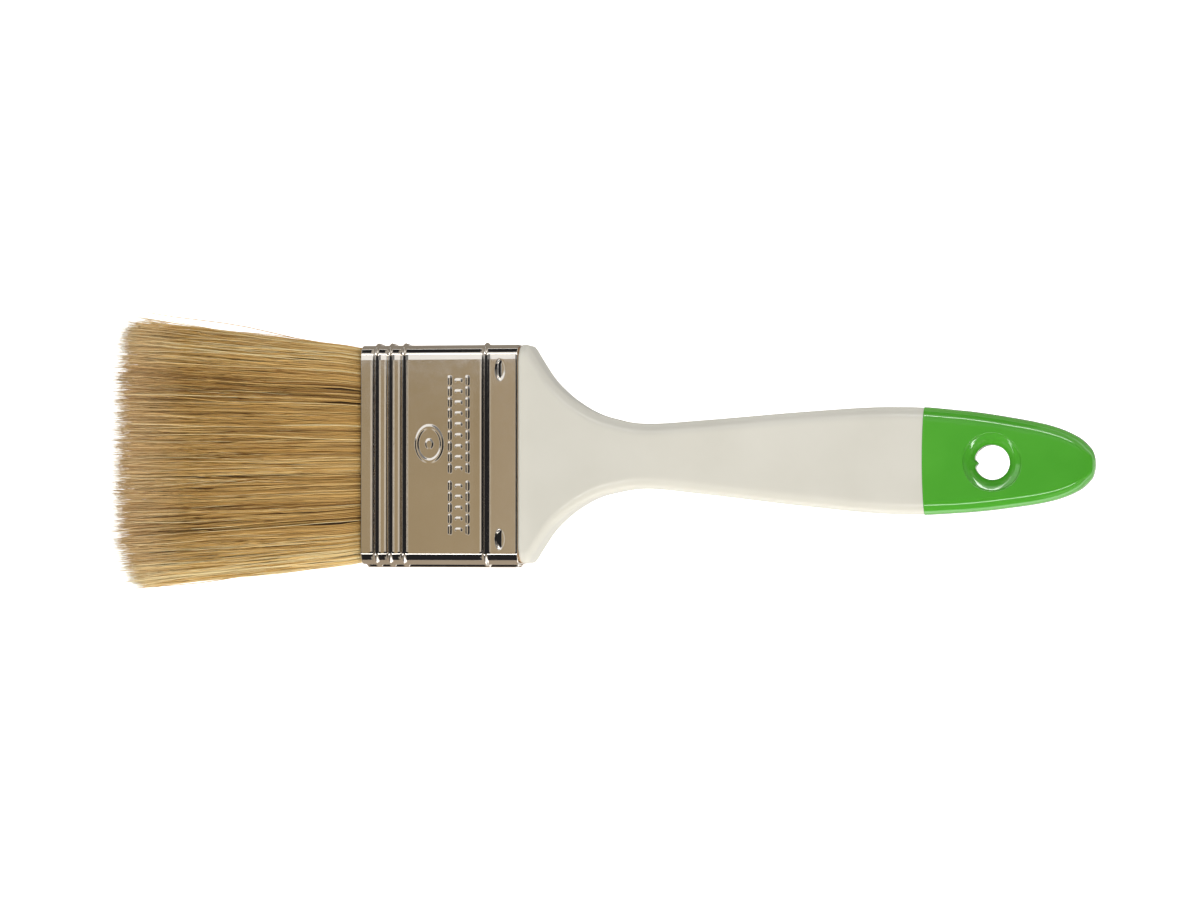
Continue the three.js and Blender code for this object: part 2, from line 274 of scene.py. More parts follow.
# ---- Curves and meshes ----
def outline(points):
    """A smooth curve through points given in mm, as a function from metres to metres."""
    p = np.array(points, float)
    t = np.linspace(0, 1, CURVE_STEPS, endpoint=False)[:, None]
    parts = []
    for i in range(len(p) - 1):
        before, after = p[max(i - 1, 0)], p[min(i + 2, len(p) - 1)]
        v0, v1 = (p[i + 1] - before) / 2, (after - p[i]) / 2
        cubic = (2 * p[i] - 2 * p[i + 1] + v0 + v1) * t**3
        square = (-3 * p[i] + 3 * p[i + 1] - 2 * v0 - v1) * t**2
        parts.append(cubic + square + v0 * t + p[i])
    q = np.concatenate([*parts, p[-1:]]) * MM
    return lambda x: np.interp(x, q[:, 0], q[:, 1])


def smooth(low, high, x):
    t = np.clip((x - low) / (high - low), 0, 1)
    return t * t * (3 - 2 * t)


def grid_faces(rows, columns, wrap_rows=False, wrap_columns=False):
    r = np.arange(rows if wrap_rows else rows - 1)[:, None]
    c = np.arange(columns if wrap_columns else columns - 1)[None, :]
    r2, c2 = (r + 1) % rows, (c + 1) % columns
    quads = [r * columns + c, r * columns + c2, r2 * columns + c2, r2 * columns + c]
    return np.stack([np.broadcast_to(q, (r.size, c.size)) for q in quads], -1).reshape(-1, 4)


def add_object(name, mesh):
    obj = bpy.data.objects.new(name, mesh)
    bpy.context.scene.collection.objects.link(obj)
    return obj


def mesh_object(name, points, faces):
    mesh = bpy.data.meshes.new(name)
    mesh.from_pydata(np.asarray(points).tolist(), [], [list(map(int, f)) for f in faces])
    mesh.shade_smooth()
    return add_object(name, mesh)


def clean(obj, merge=1e-7):
    """Joins meeting points and turns every face outwards."""
    bm = bmesh.new()
    bm.from_mesh(obj.data)
    bmesh.ops.remove_doubles(bm, verts=bm.verts, dist=merge)
    bmesh.ops.dissolve_degenerate(bm, edges=bm.edges, dist=merge)
    bmesh.ops.recalc_face_normals(bm, faces=bm.faces)
    bm.to_mesh(obj.data)
    bm.free()
    obj.data.shade_smooth()


def thicken(obj, thickness):
    """Turns an open skin into a closed coat whose outside stays where it is."""
    solidify = obj.modifiers.new("coat", "SOLIDIFY")
    solidify.thickness = thickness
    solidify.offset = -1
    graph = bpy.context.evaluated_depsgraph_get()
    obj.data = bpy.data.meshes.new_from_object(obj.evaluated_get(graph))
    obj.modifiers.clear()
    obj.data.shade_smooth()


# ---- Ferrule ----
def bead_height(from_mouth):
    height = np.zeros_like(from_mouth)
    for centre in BEADS_FROM_MOUTH:
        d = np.abs(from_mouth - centre)
        dome = (1 + np.cos(np.pi * np.clip(d / BEAD_DOME, 0, 1))) / 2
        height += (BEAD_HEIGHT - SKIRT_RISE) * dome + SKIRT_RISE * (1 - smooth(BEAD_DOME, BEAD_SKIRT, d))
    return height


def bar(along, across, length):
    """How far a place lies outside one embossed bar's middle line."""
    return np.hypot(along - np.clip(along, -length / 2, length / 2), across)


def embossed(u, v):
    """Height of the plain embossed pattern on a face, at u from the mouth and v across."""
    a = np.hypot((u - RING_PLACE[0]) / RING_HALF[0], (v - RING_PLACE[1]) / RING_HALF[1])
    places = [start + k * MARK_PITCH for start, count in MARK_GROUPS for k in range(count)]
    lines = [bar(v - place, u - row, BAR_LENGTH) for place in places for row in BAR_ROWS]
    lines += [bar(u - STUD_ROW, v - place, STUD_LENGTH) for place in places]
    lines += [np.abs(a - 1) * RING_HALF[0], a * RING_HALF[0] - RING_DOT + BAR_WIDTH / 2]
    nearest = np.minimum.reduce(lines) - BAR_WIDTH / 2
    return EMBOSS_HEIGHT * (1 - smooth(-EMBOSS_EDGE, EMBOSS_EDGE, nearest))


def stake_depth(u, v):
    """Depth of the two stakes on a face: crescents that are deepest on the side of the mouth."""
    depth = np.zeros_like(u)
    for side in (-1, 1):
        du = (u - FERRULE_LENGTH + STAKE_FROM_END) / STAKE_HALF[0]
        dv = (v - side * STAKE_Y) / STAKE_HALF[1]
        inside = 1 - smooth(*STAKE_RIM, np.hypot(du, dv))
        bite = 1 - STAKE_SHALLOW * smooth(*STAKE_BITE, du)
        depth = np.maximum(depth, STAKE_DEPTH * inside * bite)
    return depth


def ferrule_section():
    """Points round the ferrule as rows of y, z and their normal, finest across the embossed front."""
    flat_w, flat_t = FERRULE_HALF_W - FERRULE_CORNER, FERRULE_HALF_T - FERRULE_CORNER
    rows = []

    def corner(sy, sz, start):
        for a in np.linspace(start, start + math.pi / 2, CORNER_COLUMNS + 2)[1:-1]:
            n = (math.cos(a), math.sin(a))
            rows.append((sy * flat_w + FERRULE_CORNER * n[0], sz * flat_t + FERRULE_CORNER * n[1], *n))

    for z in np.linspace(-flat_t, flat_t, PLAIN_SIDE_COLUMNS):
        rows.append((FERRULE_HALF_W, z, 1, 0))
    corner(1, 1, 0)
    for y in np.linspace(flat_w, -flat_w, FRONT_COLUMNS):
        rows.append((y, FERRULE_HALF_T, 0, 1))
    corner(-1, 1, math.pi / 2)
    for z in np.linspace(flat_t, -flat_t, SEAM_SIDE_COLUMNS):
        rows.append((-FERRULE_HALF_W, z, -1, 0))
    corner(-1, -1, math.pi)
    for y in np.linspace(-flat_w, flat_w, BACK_COLUMNS):
        rows.append((y, -FERRULE_HALF_T, 0, -1))
    corner(1, -1, 1.5 * math.pi)
    return np.array(rows)


def ferrule_stations():
    """Distances from the mouth, close together where the sheet is worked."""
    end = FERRULE_LENGTH
    worked = [np.linspace(c - BEAD_SKIRT, c + BEAD_SKIRT, BEAD_STATIONS) for c in BEADS_FROM_MOUTH]
    worked.append(np.arange(*EMBOSSED_SPAN, EMBOSSED_STEP))
    stake = end - STAKE_FROM_END
    worked.append(np.arange(stake - STAKE_SPAN, stake + STAKE_SPAN, STAKE_STEP))
    plain = np.linspace(0.25 * MM, end - 0.15 * MM, PLAIN_STATIONS)
    near_ends = np.array(END_STATIONS)
    s = np.sort(np.concatenate([*worked, plain, near_ends, end - near_ends]))
    return s[np.concatenate([[True], np.diff(s) > LEAST_STEP])]


def ferrule_skin():
    """The steel band: its worked outside, and a plain inside, joined over rounded ends."""
    section = ferrule_section()
    y, z, ny, nz = (section[:, i][None, :] for i in range(4))
    u = ferrule_stations()[:, None]
    beads = np.repeat(bead_height(u), section.shape[0], 1)
    front, face, seam_side = nz == 1, np.abs(nz) == 1, ny == -1
    seam = seam_side * (1 - smooth(*SEAM_EDGE, np.abs(z)))
    seam = seam * smooth(*SEAM_ENDS, u) * smooth(*SEAM_ENDS, FERRULE_LENGTH - u)
    uu, vv = np.broadcast_to(u, beads.shape), np.broadcast_to(y, beads.shape)
    proud = beads * (1 - seam) + SEAM_PROUD * seam + embossed(uu, vv) * front - stake_depth(uu, vv) * face
    outer = np.stack([MOUTH + uu, y + ny * proud, MID + z + nz * proud], -1)

    def rim(at, inset):
        return np.stack([np.full(y.shape, at), y - ny * inset, MID + z - nz * inset], -1)

    r = SHEET / 2
    inner = [rim(at, SHEET) for at in (SHOULDER, *[MOUTH + row for row in INNER_ROWS])]
    turns = np.linspace(-LIP_TURN, LIP_TURN, LIP_ROWS)
    lip = [rim(MOUTH + r * (1 - math.cos(a)), r * (1 - math.sin(a))) for a in turns]
    points = np.concatenate([*inner, *lip, outer, rim(SHOULDER, END_INSET)])
    faces = grid_faces(points.shape[0], points.shape[1], wrap_rows=True, wrap_columns=True)
    skin = mesh_object("ferrule_band", points.reshape(-1, 3), faces)
    clean(skin)
    return skin


# ---- Handle coats ----
handle_width = outline(HANDLE_WIDTH)
handle_thick = outline(HANDLE_THICK)
dish_depth = outline(DISH)


def corner_radius(s):
    return np.minimum(EDGE_RADIUS, EDGE_LIMIT * np.minimum(handle_width(s), handle_thick(s)))


def face_height(s, y):
    """Height of the handle's front face over the middle plane, before any dish."""
    w, t, r = handle_width(s), handle_thick(s), corner_radius(s)
    beyond = np.clip(np.abs(y) - (w - r), 0, r)
    return t - r + np.sqrt(np.maximum(r * r - beyond * beyond, 0))


def half_row(s, columns):
    """The upper half of the handle's section at s: from the -Y edge over the face to the +Y edge."""
    w, t, r = float(handle_width(s)), float(handle_thick(s)), float(corner_radius(s))
    edge = FACE_SHARE * w
    face = np.linspace(-edge, edge, columns + 1)
    turn = math.asin(min(max((edge - (w - r)) / r, 0), 1))
    flat, arc, wall = max(w - r - edge, 0), r * (math.pi / 2 - turn), t - r
    side = []
    for length in np.linspace(0, flat + arc + wall, SIDE_COLUMNS + 1)[1:]:
        if length <= flat:
            side.append((edge + length, t))
        elif length <= flat + arc:
            a = turn + (length - flat) / r
            side.append((w - r + r * math.sin(a), t - r + r * math.cos(a)))
        else:
            side.append((w, max(t - r - (length - flat - arc), 0)))
    left = [(-a, b) for a, b in reversed(side)]
    return np.array(left + [(a, float(face_height(s, a))) for a in face] + side)


def skin_rows(stations, columns, proud):
    """The handle's upper half, row by row, standing proud along the surface's own normal."""
    rows = []
    for s in stations:
        row = half_row(s, columns)
        rows.append(np.column_stack([np.full(len(row), SHOULDER + s), row]))
    points = np.array(rows)
    along = np.gradient(points, axis=0)
    across = np.gradient(points, axis=1)
    normal = np.cross(along, across)
    normal /= np.maximum(np.linalg.norm(normal, axis=2, keepdims=True), 1e-12)
    normal *= np.sign(normal[:, columns // 2 + SIDE_COLUMNS, 2])[:, None, None]
    return points + normal * proud[:, None, None]


def bowed(points):
    """The line between the coats lies a little further along at the edges than in the middle of the face."""
    fade = 1 - smooth(0, BOW_FADE, np.abs(points[..., 0] - DIP))
    points[..., 0] += DIP_BOW * (points[..., 1] / BOW_REACH) ** 2 * fade
    return points


def askew(points):
    """The handle sits a little askew in the ferrule."""
    points[:, 1] += OFFSET - ASKEW * np.maximum(points[:, 0] - SHOULDER, 0)
    return points


def mirrored(points, faces):
    """The lower half, with its faces turned over, added to the upper half."""
    count = len(points)
    lower = points * [1, 1, -1]
    faces = [list(f) for f in faces]
    flipped = [[i + count for i in reversed(f)] for f in faces]
    both = np.concatenate([points, lower])
    both[:, 2] += MID
    return both, faces + flipped


def coat_object(name, upper, faces):
    """A closed coat made from the handle's upper half and its mirror image."""
    both, faces = mirrored(upper, faces)
    coat = mesh_object(name, askew(both), faces)
    clean(coat, COAT_MERGE)
    thicken(coat, COAT)
    return coat


def white_coat():
    reach = DIP - SHOULDER
    near_ferrule = np.array([0.0, 0.08, 0.25, 0.5, 0.8]) * MM
    shoulder = np.arange(1.1, 6, 0.35) * MM
    grip = np.arange(6.4, 90, 0.8) * MM
    stations = np.concatenate([near_ferrule, shoulder, grip])
    near_dip = reach + np.array([-0.4, 0, 0.3]) * MM
    stations = np.concatenate([stations[stations < reach - 0.6 * MM], near_dip])
    proud = -TUCK * (1 - smooth(0, 0.5 * MM, stations)) ** 2
    proud -= SINK * smooth(reach - 0.1 * MM, reach + 0.3 * MM, stations)
    points = bowed(skin_rows(stations + FERRULE_GAP, WHITE_COLUMNS, proud))
    return coat_object("handle_white_coat", points.reshape(-1, 3), grid_faces(*points.shape[:2]))


def green_stations(hole):
    """Distances from the ferrule, as those up to the dish's rectangle, along it and after it."""
    start = DIP - SHOULDER
    edge = start + np.array([0.0, 0.06, 0.14, 0.26, 0.45, 0.8, 1.3, 2.0]) * MM
    block = np.linspace(hole - DISH_BLOCK, hole + DISH_BLOCK, BLOCK_ROWS + 1)
    between = np.linspace(edge[-1], block[0], 9)[1:-1]
    end = HANDLE_OUT - (HANDLE_OUT - block[-1]) * (1 - np.linspace(0, 1, 40)) ** 1.8
    return np.concatenate([edge, between]), block, end[1:]


def rectangle_out(rows, columns, first, last):
    """The grid's faces without a rectangle of its face columns, and the points round that rectangle."""
    left, right = SIDE_COLUMNS, SIDE_COLUMNS + GREEN_COLUMNS
    faces = []
    for f in grid_faces(rows, columns):
        row, column = divmod(int(f[0]), columns)
        if not (first <= row < last and left <= column < right):
            faces.append(f)
    around = (
        [(first, c) for c in range(left, right)]
        + [(r, right) for r in range(first, last)]
        + [(last, c) for c in range(right, left, -1)]
        + [(r, left) for r in range(last, first, -1)]
    )
    return faces, [r * columns + c for r, c in around]


def dish_rings(boundary, hole):
    """Rings of points: from the rectangle to the dish's edge, down the dish, and down the hole."""
    centre = np.array([SHOULDER + hole, 0])
    angle = np.arctan2(boundary[:, 1], boundary[:, 0] - centre[0])
    outwards = np.column_stack([np.cos(angle), np.sin(angle)])
    nub = NUB * np.exp(-((np.angle(np.exp(1j * (angle - NUB_ANGLE))) / NUB_SPREAD) ** 2))
    proud_there = boundary[:, 2] - face_height(boundary[:, 0] - SHOULDER, boundary[:, 1])
    for share in np.linspace(0, 1, FACE_RINGS + 1)[1:]:
        plan = boundary[:, :2] * (1 - share) + (centre + DISH_RADIUS * outwards) * share
        height = face_height(plan[:, 0] - SHOULDER, plan[:, 1]) + proud_there * (1 - share)
        yield np.column_stack([plan, height])
    for radius in np.linspace(DISH_RADIUS, HOLE_RADIUS, DISH_RINGS + 1)[1:]:
        level = face_height(hole + radius * outwards[:, 0], radius * outwards[:, 1])
        rim = level - dish_depth(radius - HOLE_RADIUS)
        inwards = nub * smooth(NUB_OUT, 0, radius - HOLE_RADIUS)
        yield np.column_stack([centre + (radius - inwards)[:, None] * outwards, rim])
    # rim is now the height of the hole's own edge
    for share in np.linspace(0, 1, HOLE_RINGS + 1)[1:]:
        inwards = nub * np.exp(-((rim * share / NUB_DOWN) ** 2))
        yield np.column_stack([centre + (HOLE_RADIUS - inwards)[:, None] * outwards, rim * (1 - share)])


def green_coat():
    """The dipped end. Its face has a rectangle of the grid taken out and filled with rings to the hole."""
    hole = HANDLE_OUT - HOLE_FROM_TIP
    before, block, after = green_stations(hole)
    stations = np.concatenate([before, block, after])
    since = stations - stations[0]
    proud = LIP * smooth(0, 0.2 * MM, since) * (1 - smooth(*LIP_FADE, since))
    proud -= SINK * (1 - smooth(0, 0.12 * MM, since))
    points = bowed(skin_rows(stations, GREEN_COLUMNS, proud))
    faces, ring = rectangle_out(*points.shape[:2], len(before), len(before) + len(block) - 1)
    flat = list(points.reshape(-1, 3))
    for places in dish_rings(np.array([flat[i] for i in ring]), hole):
        inner = list(range(len(flat), len(flat) + len(places)))
        flat.extend(places)
        faces += [[ring[i - 1], ring[i], inner[i], inner[i - 1]] for i in range(len(ring))]
        ring = inner
    return coat_object("handle_green_coat", np.array(flat), faces)


# ---- Bristles ----
bank_half_w = outline(BANK_HALF_W)
bank_half_t = outline(BANK_HALF_T)


def root_places(rng, count, face):
    """Places across a bank as shares of its half width and half thickness, crowded near its surface."""
    places = []
    while len(places) < count:
        a, b = rng.uniform(-1, 1), rng.uniform(0, 1)
        dy, dz = (1 - abs(a)) * CROWDING[0], (1 - b) * CROWDING[1]
        depth = min(dy, dz)
        if max(dy, dz) < CROWDING_CORNER:
            depth = CROWDING_CORNER - math.hypot(CROWDING_CORNER - dy, CROWDING_CORNER - dz)
        if depth < 0:
            continue
        if rng.uniform() < CORE_SHARE + (1 - CORE_SHARE) * math.exp(-((depth / CROWDING_DEPTH) ** 2)):
            places.append((a, b * face))
    return np.array(places)


def parted(y, out, grow):
    """Opens the gaps between the tufts: moves the strands beside each split away from it."""
    for split, half_gap, reach in SPLITS:
        near = y - split * (1 + SPLIT_SPREAD * grow)
        side = np.where(near[:, 1:2] > 0, 1, -1)
        open_there = np.clip((reach - out) / (SPLIT_CLOSES * reach), 0, 1)
        y += side * open_there * half_gap * np.exp(-((near / (2 * half_gap)) ** 2))
    return y


def strand_paths(rng, count, face, segments):
    """Each strand's path, how far along it each point lies, its clump's shade and the painted light that
    makes its place paler.
    """
    place = root_places(rng, count, face)
    a, b = place[:, 0], place[:, 1]
    clumps = root_places(rng, CLUMPS, face)
    apart = (place * BANK_SCALE)[:, None, :] - (clumps * BANK_SCALE)[None, :, :]
    clump = np.argmin((apart**2).sum(2), 1)

    pull = rng.uniform(*CLUMP_PULL, CLUMPS)[clump]
    to_centre = (clumps[clump] - place) * BANK_SCALE
    clump_lean = rng.normal(0, 1, (CLUMPS, 2))[clump] * CLUMP_LEAN
    own_lean = rng.normal(0, 1, (count, 2)) * OWN_LEAN
    own_lean[rng.uniform(size=count) < WILD_SHARE] *= WILD_LEAN
    stray = (a > STRAY_FROM) & (rng.uniform(size=count) < STRAY_SHARE)
    own_lean[stray, 0] = rng.uniform(*STRAY_LEAN, stray.sum())

    clump_length = rng.normal(0, CLUMP_LENGTH, CLUMPS)[clump]
    crown = CROWN * a**2 + np.where(a > 0, *CORNER_CUT) * np.abs(a) ** 9
    length = BRISTLE_OUT - USUAL_BACK - crown + clump_length - np.abs(rng.normal(0, OWN_LENGTH, count))
    length = np.minimum(length, BRISTLE_OUT - LEAST_BACK)

    own_phase = rng.uniform(0, 2 * math.pi, (count, 2))
    clump_phase = rng.uniform(0, 2 * math.pi, (CLUMPS, 2))[clump]
    pace = rng.uniform(*WAVE_PACE, count)

    t = np.linspace(0, 1, segments + 1)[None, :]
    out = -ROOTS + t * (length + ROOTS)[:, None]
    grow = np.clip(out / BRISTLE_OUT, 0, 1)
    drawn = to_centre * pull[:, None]
    lean = clump_lean + own_lean
    y = a[:, None] * bank_half_w(out) + drawn[:, :1] * grow**1.3 + lean[:, :1] * grow**1.4
    z = b[:, None] * bank_half_t(out) + drawn[:, 1:] * grow**1.3 + lean[:, 1:] * grow**1.4
    wave = 2 * math.pi * pace[:, None] * grow
    free = np.minimum(3 * grow, 1)  # the mouth holds the strands straight
    y += OWN_WAVE * np.sin(wave + own_phase[:, :1]) * free
    y += CLUMP_WAVE * np.sin(wave * 0.8 + clump_phase[:, :1]) * free
    z += DEEP_WAVE * np.sin(wave + own_phase[:, 1:]) * free
    y = parted(y, out, grow)
    keep = FERRULE_HALF_T - SHEET - RIM_CLEARANCE
    z = np.where(out < STRAIGHT_OUT, np.clip(z, -keep, keep), z)
    paths = np.stack([MOUTH - out, y, MID + z], -1)
    # painted light: strands towards the bundle's edges are made paler, most at -Y
    edge_light = np.where(a > 0, *PAINTED_EDGE_LIGHT) * smooth(*PAINTED_EDGE_LIGHT_FROM, np.abs(a))
    return paths, grow, rng.uniform(size=CLUMPS)[clump], edge_light


def strand_faces(steps):
    """The faces of one strand: a tube closed at its root, whose last ring runs to a point."""
    rings = steps - 1
    sides = range(STRAND_SIDES)
    corners = [(k, (k + 1) % STRAND_SIDES) for k in sides]
    tube = []
    for r in range(rings - 1):
        here, there = STRAND_SIDES * r, STRAND_SIDES * (r + 1)
        tube += [(here + k, there + k, there + after, here + after) for k, after in corners]
    last, tip = STRAND_SIDES * (rings - 1), STRAND_SIDES * rings
    return np.array(tube), np.array([tuple(sides)] + [(last + k, tip, last + after) for k, after in corners])


def strand_mesh(name, rng, paths, grow, clump_shade, edge_light):
    """A closed three-sided tapering tube along each path, all in one mesh."""
    count, steps, _ = paths.shape
    tangent = np.gradient(paths, axis=1)
    tangent /= np.linalg.norm(tangent, axis=2, keepdims=True)
    spin = rng.uniform(0, 2 * math.pi, count)
    aside = np.stack([np.zeros(count), np.cos(spin), np.sin(spin)], -1)[:, None, :]
    first = np.cross(tangent, aside)
    first /= np.linalg.norm(first, axis=2, keepdims=True)
    second = np.cross(tangent, first)
    size = STRAND_RADIUS * rng.uniform(*STRAND_SIZES, count)[:, None] * (1 - STRAND_TAPER * grow)
    rings = []
    for k in range(STRAND_SIDES):
        angle = 2 * math.pi * k / STRAND_SIDES
        turned = math.cos(angle) * first[:, :-1] + math.sin(angle) * second[:, :-1]
        rings.append(paths[:, :-1] + turned * size[:, :-1, None])
    body = np.stack(rings, 2).reshape(count, -1, 3)
    points = np.concatenate([body, paths[:, -1:]], 1)
    per_strand = points.shape[1]
    shift = (np.arange(count) * per_strand)[:, None, None]
    faces = []
    for one in strand_faces(steps):
        faces += (one[None] + shift).reshape(-1, one.shape[1]).tolist()
    mesh = bpy.data.meshes.new(name)
    mesh.from_pydata(points.reshape(-1, 3).tolist(), [], faces)
    mesh.shade_smooth()
    own_shade = rng.uniform(0, 1, count)
    # each strand's tone, its own and its clump's, with the painted edge light added
    shade = np.repeat(OWN_SHADE * own_shade + CLUMP_SHADE * clump_shade - DARKER + edge_light, per_strand)
    along = np.concatenate([np.repeat(grow[:, :-1], STRAND_SIDES, 1), grow[:, -1:]], 1).reshape(-1)
    for attribute, values in (("shade", shade), ("along", along)):
        layer = mesh.attributes.new(attribute, "FLOAT", "POINT")
        layer.data.foreach_set("value", values.astype(np.float32))
    return add_object(name, mesh)


def bristle_bank(name, face, seed):
    rng = np.random.default_rng(seed)
    return strand_mesh(name, rng, *strand_paths(rng, STRANDS, face, STRAND_SEGMENTS))


def bristle_heart():
    """The solid middle of the bristles, under the strands that show."""
    body = np.concatenate([[-1.2, -0.4], np.linspace(1, 46, 26)]) * MM
    end = [(49 * MM, 0.9), (51 * MM, 0.7), (52 * MM, 0.4)]
    rows = []
    for out, share in [*[(out, 1) for out in body], *end]:
        w = float(bank_half_w(out)) - HEART_INSET
        t = (float(bank_half_t(out)) - HEART_INSET) * share
        r = HEART_CORNER * share
        ring = []
        for sy, sz, start in ((1, 1, 0), (-1, 1, 1), (-1, -1, 2), (1, -1, 3)):
            for a in np.linspace(start, start + 1, 7) * math.pi / 2:
                y = sy * (w - r) + r * math.cos(a)
                z = sz * (t - r) + r * math.sin(a)
                ring.append((MOUTH - out, y, MID + z))
        rows.append(ring)
    points = np.array(rows)
    faces = grid_faces(points.shape[0], points.shape[1], wrap_columns=True).tolist()
    n = points.shape[1]
    faces += [list(range(n)), list(range((len(rows) - 1) * n, len(rows) * n))]
    heart = mesh_object("bristle_heart", points.reshape(-1, 3), faces)
    clean(heart)
    return heart


# ---- Materials ----
FAINT_BUMP = 0.01 * MM
STREAK_BUMP = 0.2 * MM


def new_material(name):
    material = bpy.data.materials.new(name)
    material.use_nodes = True
    tree = material.node_tree
    return material, tree, tree.nodes["Principled BSDF"]


def set_sockets(shader, **values):
    for name, value in values.items():
        shader.inputs[name.replace("_", " ")].default_value = value


def object_noise(tree, scale, detail, stretch=(1, 1, 1)):
    """Noise fixed to the object, so that it stays with a moving piece."""
    nodes, links = tree.nodes, tree.links
    place = nodes.new("ShaderNodeTexCoord")
    mapping = nodes.new("ShaderNodeMapping")
    mapping.inputs["Scale"].default_value = stretch
    noise = nodes.new("ShaderNodeTexNoise")
    noise.inputs["Scale"].default_value = scale
    noise.inputs["Detail"].default_value = detail
    links.new(place.outputs["Object"], mapping.inputs["Vector"])
    links.new(mapping.outputs["Vector"], noise.inputs["Vector"])
    return noise.outputs["Fac"]


def ramp(tree, factor, stops):
    node = tree.nodes.new("ShaderNodeValToRGB")
    elements = node.color_ramp.elements
    while len(elements) < len(stops):
        elements.new(0.5)
    for element, (position, colour) in zip(elements, stops):
        element.position = position
        element.color = (*colour, 1)
    tree.links.new(factor, node.inputs["Fac"])
    return node.outputs["Color"]


def bump(tree, shader, height, distance, strength):
    node = tree.nodes.new("ShaderNodeBump")
    node.inputs["Distance"].default_value = distance
    node.inputs["Strength"].default_value = strength
    tree.links.new(height, node.inputs["Height"])
    tree.links.new(node.outputs["Normal"], shader.inputs["Normal"])


def lacquer(name, colours, roughness, coat):
    """Paint with faint clouds in its colour and a faint orange peel, under a clear coat."""
    material, tree, shader = new_material(name)
    tree.links.new(ramp(tree, object_noise(tree, 45, 4), colours), shader.inputs["Base Color"])
    set_sockets(shader, Roughness=roughness, Coat_Weight=coat, Coat_Roughness=0.04, IOR=1.5)
    bump(tree, shader, object_noise(tree, 260, 2), FAINT_BUMP, 0.5)
    return material


def white_lacquer():
    colours = [(0.35, (0.65, 0.63, 0.553)), (0.7, (0.695, 0.675, 0.60))]
    return lacquer("white_lacquer", colours, roughness=0.3, coat=0.35)


def green_lacquer():
    colours = [(0.3, (0.069, 0.37, 0.025)), (0.75, (0.093, 0.43, 0.036))]
    return lacquer("green_lacquer", colours, roughness=0.12, coat=1.0)


def plated_steel():
    """Bright nickel on steel sheet, a little warm and unevenly polished."""
    material, tree, shader = new_material("plated_steel")
    tint = ramp(tree, object_noise(tree, 48, 4), [(0.3, (0.79, 0.735, 0.665)), (0.7, (0.865, 0.82, 0.76))])
    tree.links.new(tint, shader.inputs["Base Color"])
    rough = ramp(tree, object_noise(tree, 500, 5), [(0.3, (0.055,) * 3), (0.8, (0.095,) * 3)])
    tree.links.new(rough, shader.inputs["Roughness"])
    set_sockets(shader, Metallic=1.0)
    bump(tree, shader, object_noise(tree, 900, 3), FAINT_BUMP, 0.3)
    return material


def bristle_material():
    """Hair whose colour follows each strand's shade, painted edge light included, and pales towards the
    flagged tips.
    """
    material, tree, shader = new_material("bristle")
    nodes, links = tree.nodes, tree.links
    shade = nodes.new("ShaderNodeAttribute")
    shade.attribute_name = "shade"
    along = nodes.new("ShaderNodeAttribute")
    along.attribute_name = "along"
    body = ramp(
        tree,
        shade.outputs["Fac"],
        [
            (0.08, (0.20, 0.100, 0.024)),
            (0.22, (0.43, 0.228, 0.058)),
            (0.5, (0.63, 0.380, 0.113)),
            (0.78, (0.81, 0.560, 0.220)),
            (0.95, (0.90, 0.740, 0.400)),
        ],
    )
    tips = ramp(tree, shade.outputs["Fac"], [(0.1, (0.74, 0.46, 0.21)), (0.9, (1.0, 0.83, 0.50))])
    toward = ramp(tree, along.outputs["Fac"], [(0.68, (0, 0, 0)), (0.98, (0.95, 0.95, 0.95))])
    mix = nodes.new("ShaderNodeMix")
    mix.data_type = "RGBA"
    links.new(toward, mix.inputs["Factor"])
    links.new(body, mix.inputs["A"])
    links.new(tips, mix.inputs["B"])
    links.new(mix.outputs["Result"], shader.inputs["Base Color"])
    set_sockets(shader, Roughness=0.45, IOR=1.45, Specular_IOR_Level=0.3)
    return material


def streaked(name, colours, scale, stretch, roughness=0.6):
    """A dull material with streaks along X, as in wood grain or packed hair."""
    material, tree, shader = new_material(name)
    streaks = object_noise(tree, scale, 5, stretch)
    tree.links.new(ramp(tree, streaks, colours), shader.inputs["Base Color"])
    bump(tree, shader, streaks, STREAK_BUMP, 0.6)
    set_sockets(shader, Roughness=roughness)
    return material


def wear(obj, material):
    obj.data.materials.clear()
    obj.data.materials.append(material)


# ---- Assembly ----
strand_hair = bristle_material()
# painted shade: the bristles' heart and roots are near black, so that the gaps between the tufts and round
# the mouth look shadowed
PAINTED_SHADE_HAIR_COLOURS = [(0.35, (0.06, 0.03, 0.008)), (0.7, (0.2, 0.11, 0.035))]
WOOD_COLOURS = [(0.3, (0.55, 0.36, 0.19)), (0.7, (0.70, 0.49, 0.29))]
RESIN_COLOURS = [(0.3, (0.24, 0.16, 0.06)), (0.7, (0.36, 0.26, 0.11))]
packed_hair_painted_shade = streaked("bristle_heart", PAINTED_SHADE_HAIR_COLOURS, 900, (0.04, 1, 1))
wood = streaked("beech", WOOD_COLOURS, 300, (0.08, 1, 1))
resin = streaked("epoxy", RESIN_COLOURS, 120, (1, 1, 1), roughness=0.3)

for skin, material, node, slot in (
    (ferrule_skin(), plated_steel(), "ferrule", "plated_steel"),
    (white_coat(), white_lacquer(), "handle_lacquer", "white_lacquer"),
    (green_coat(), green_lacquer(), "tip_dip_coat", "green_lacquer"),
):
    wear(skin, material)
    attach(skin, "brush_body")
    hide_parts(node)

for bank, face, seed in (("front", 1, 11), ("back", -1, 12)):
    strands = bristle_bank(f"bristle_strands_{bank}", face, seed)
    wear(strands, strand_hair)
    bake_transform(strands)
    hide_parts(*[f"bristles_{bank}_{i}" for i in range(1, 6)])

heart = bristle_heart()
# the heart wears the near-black painted shade
wear(heart, packed_hair_painted_shade)
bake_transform(heart)

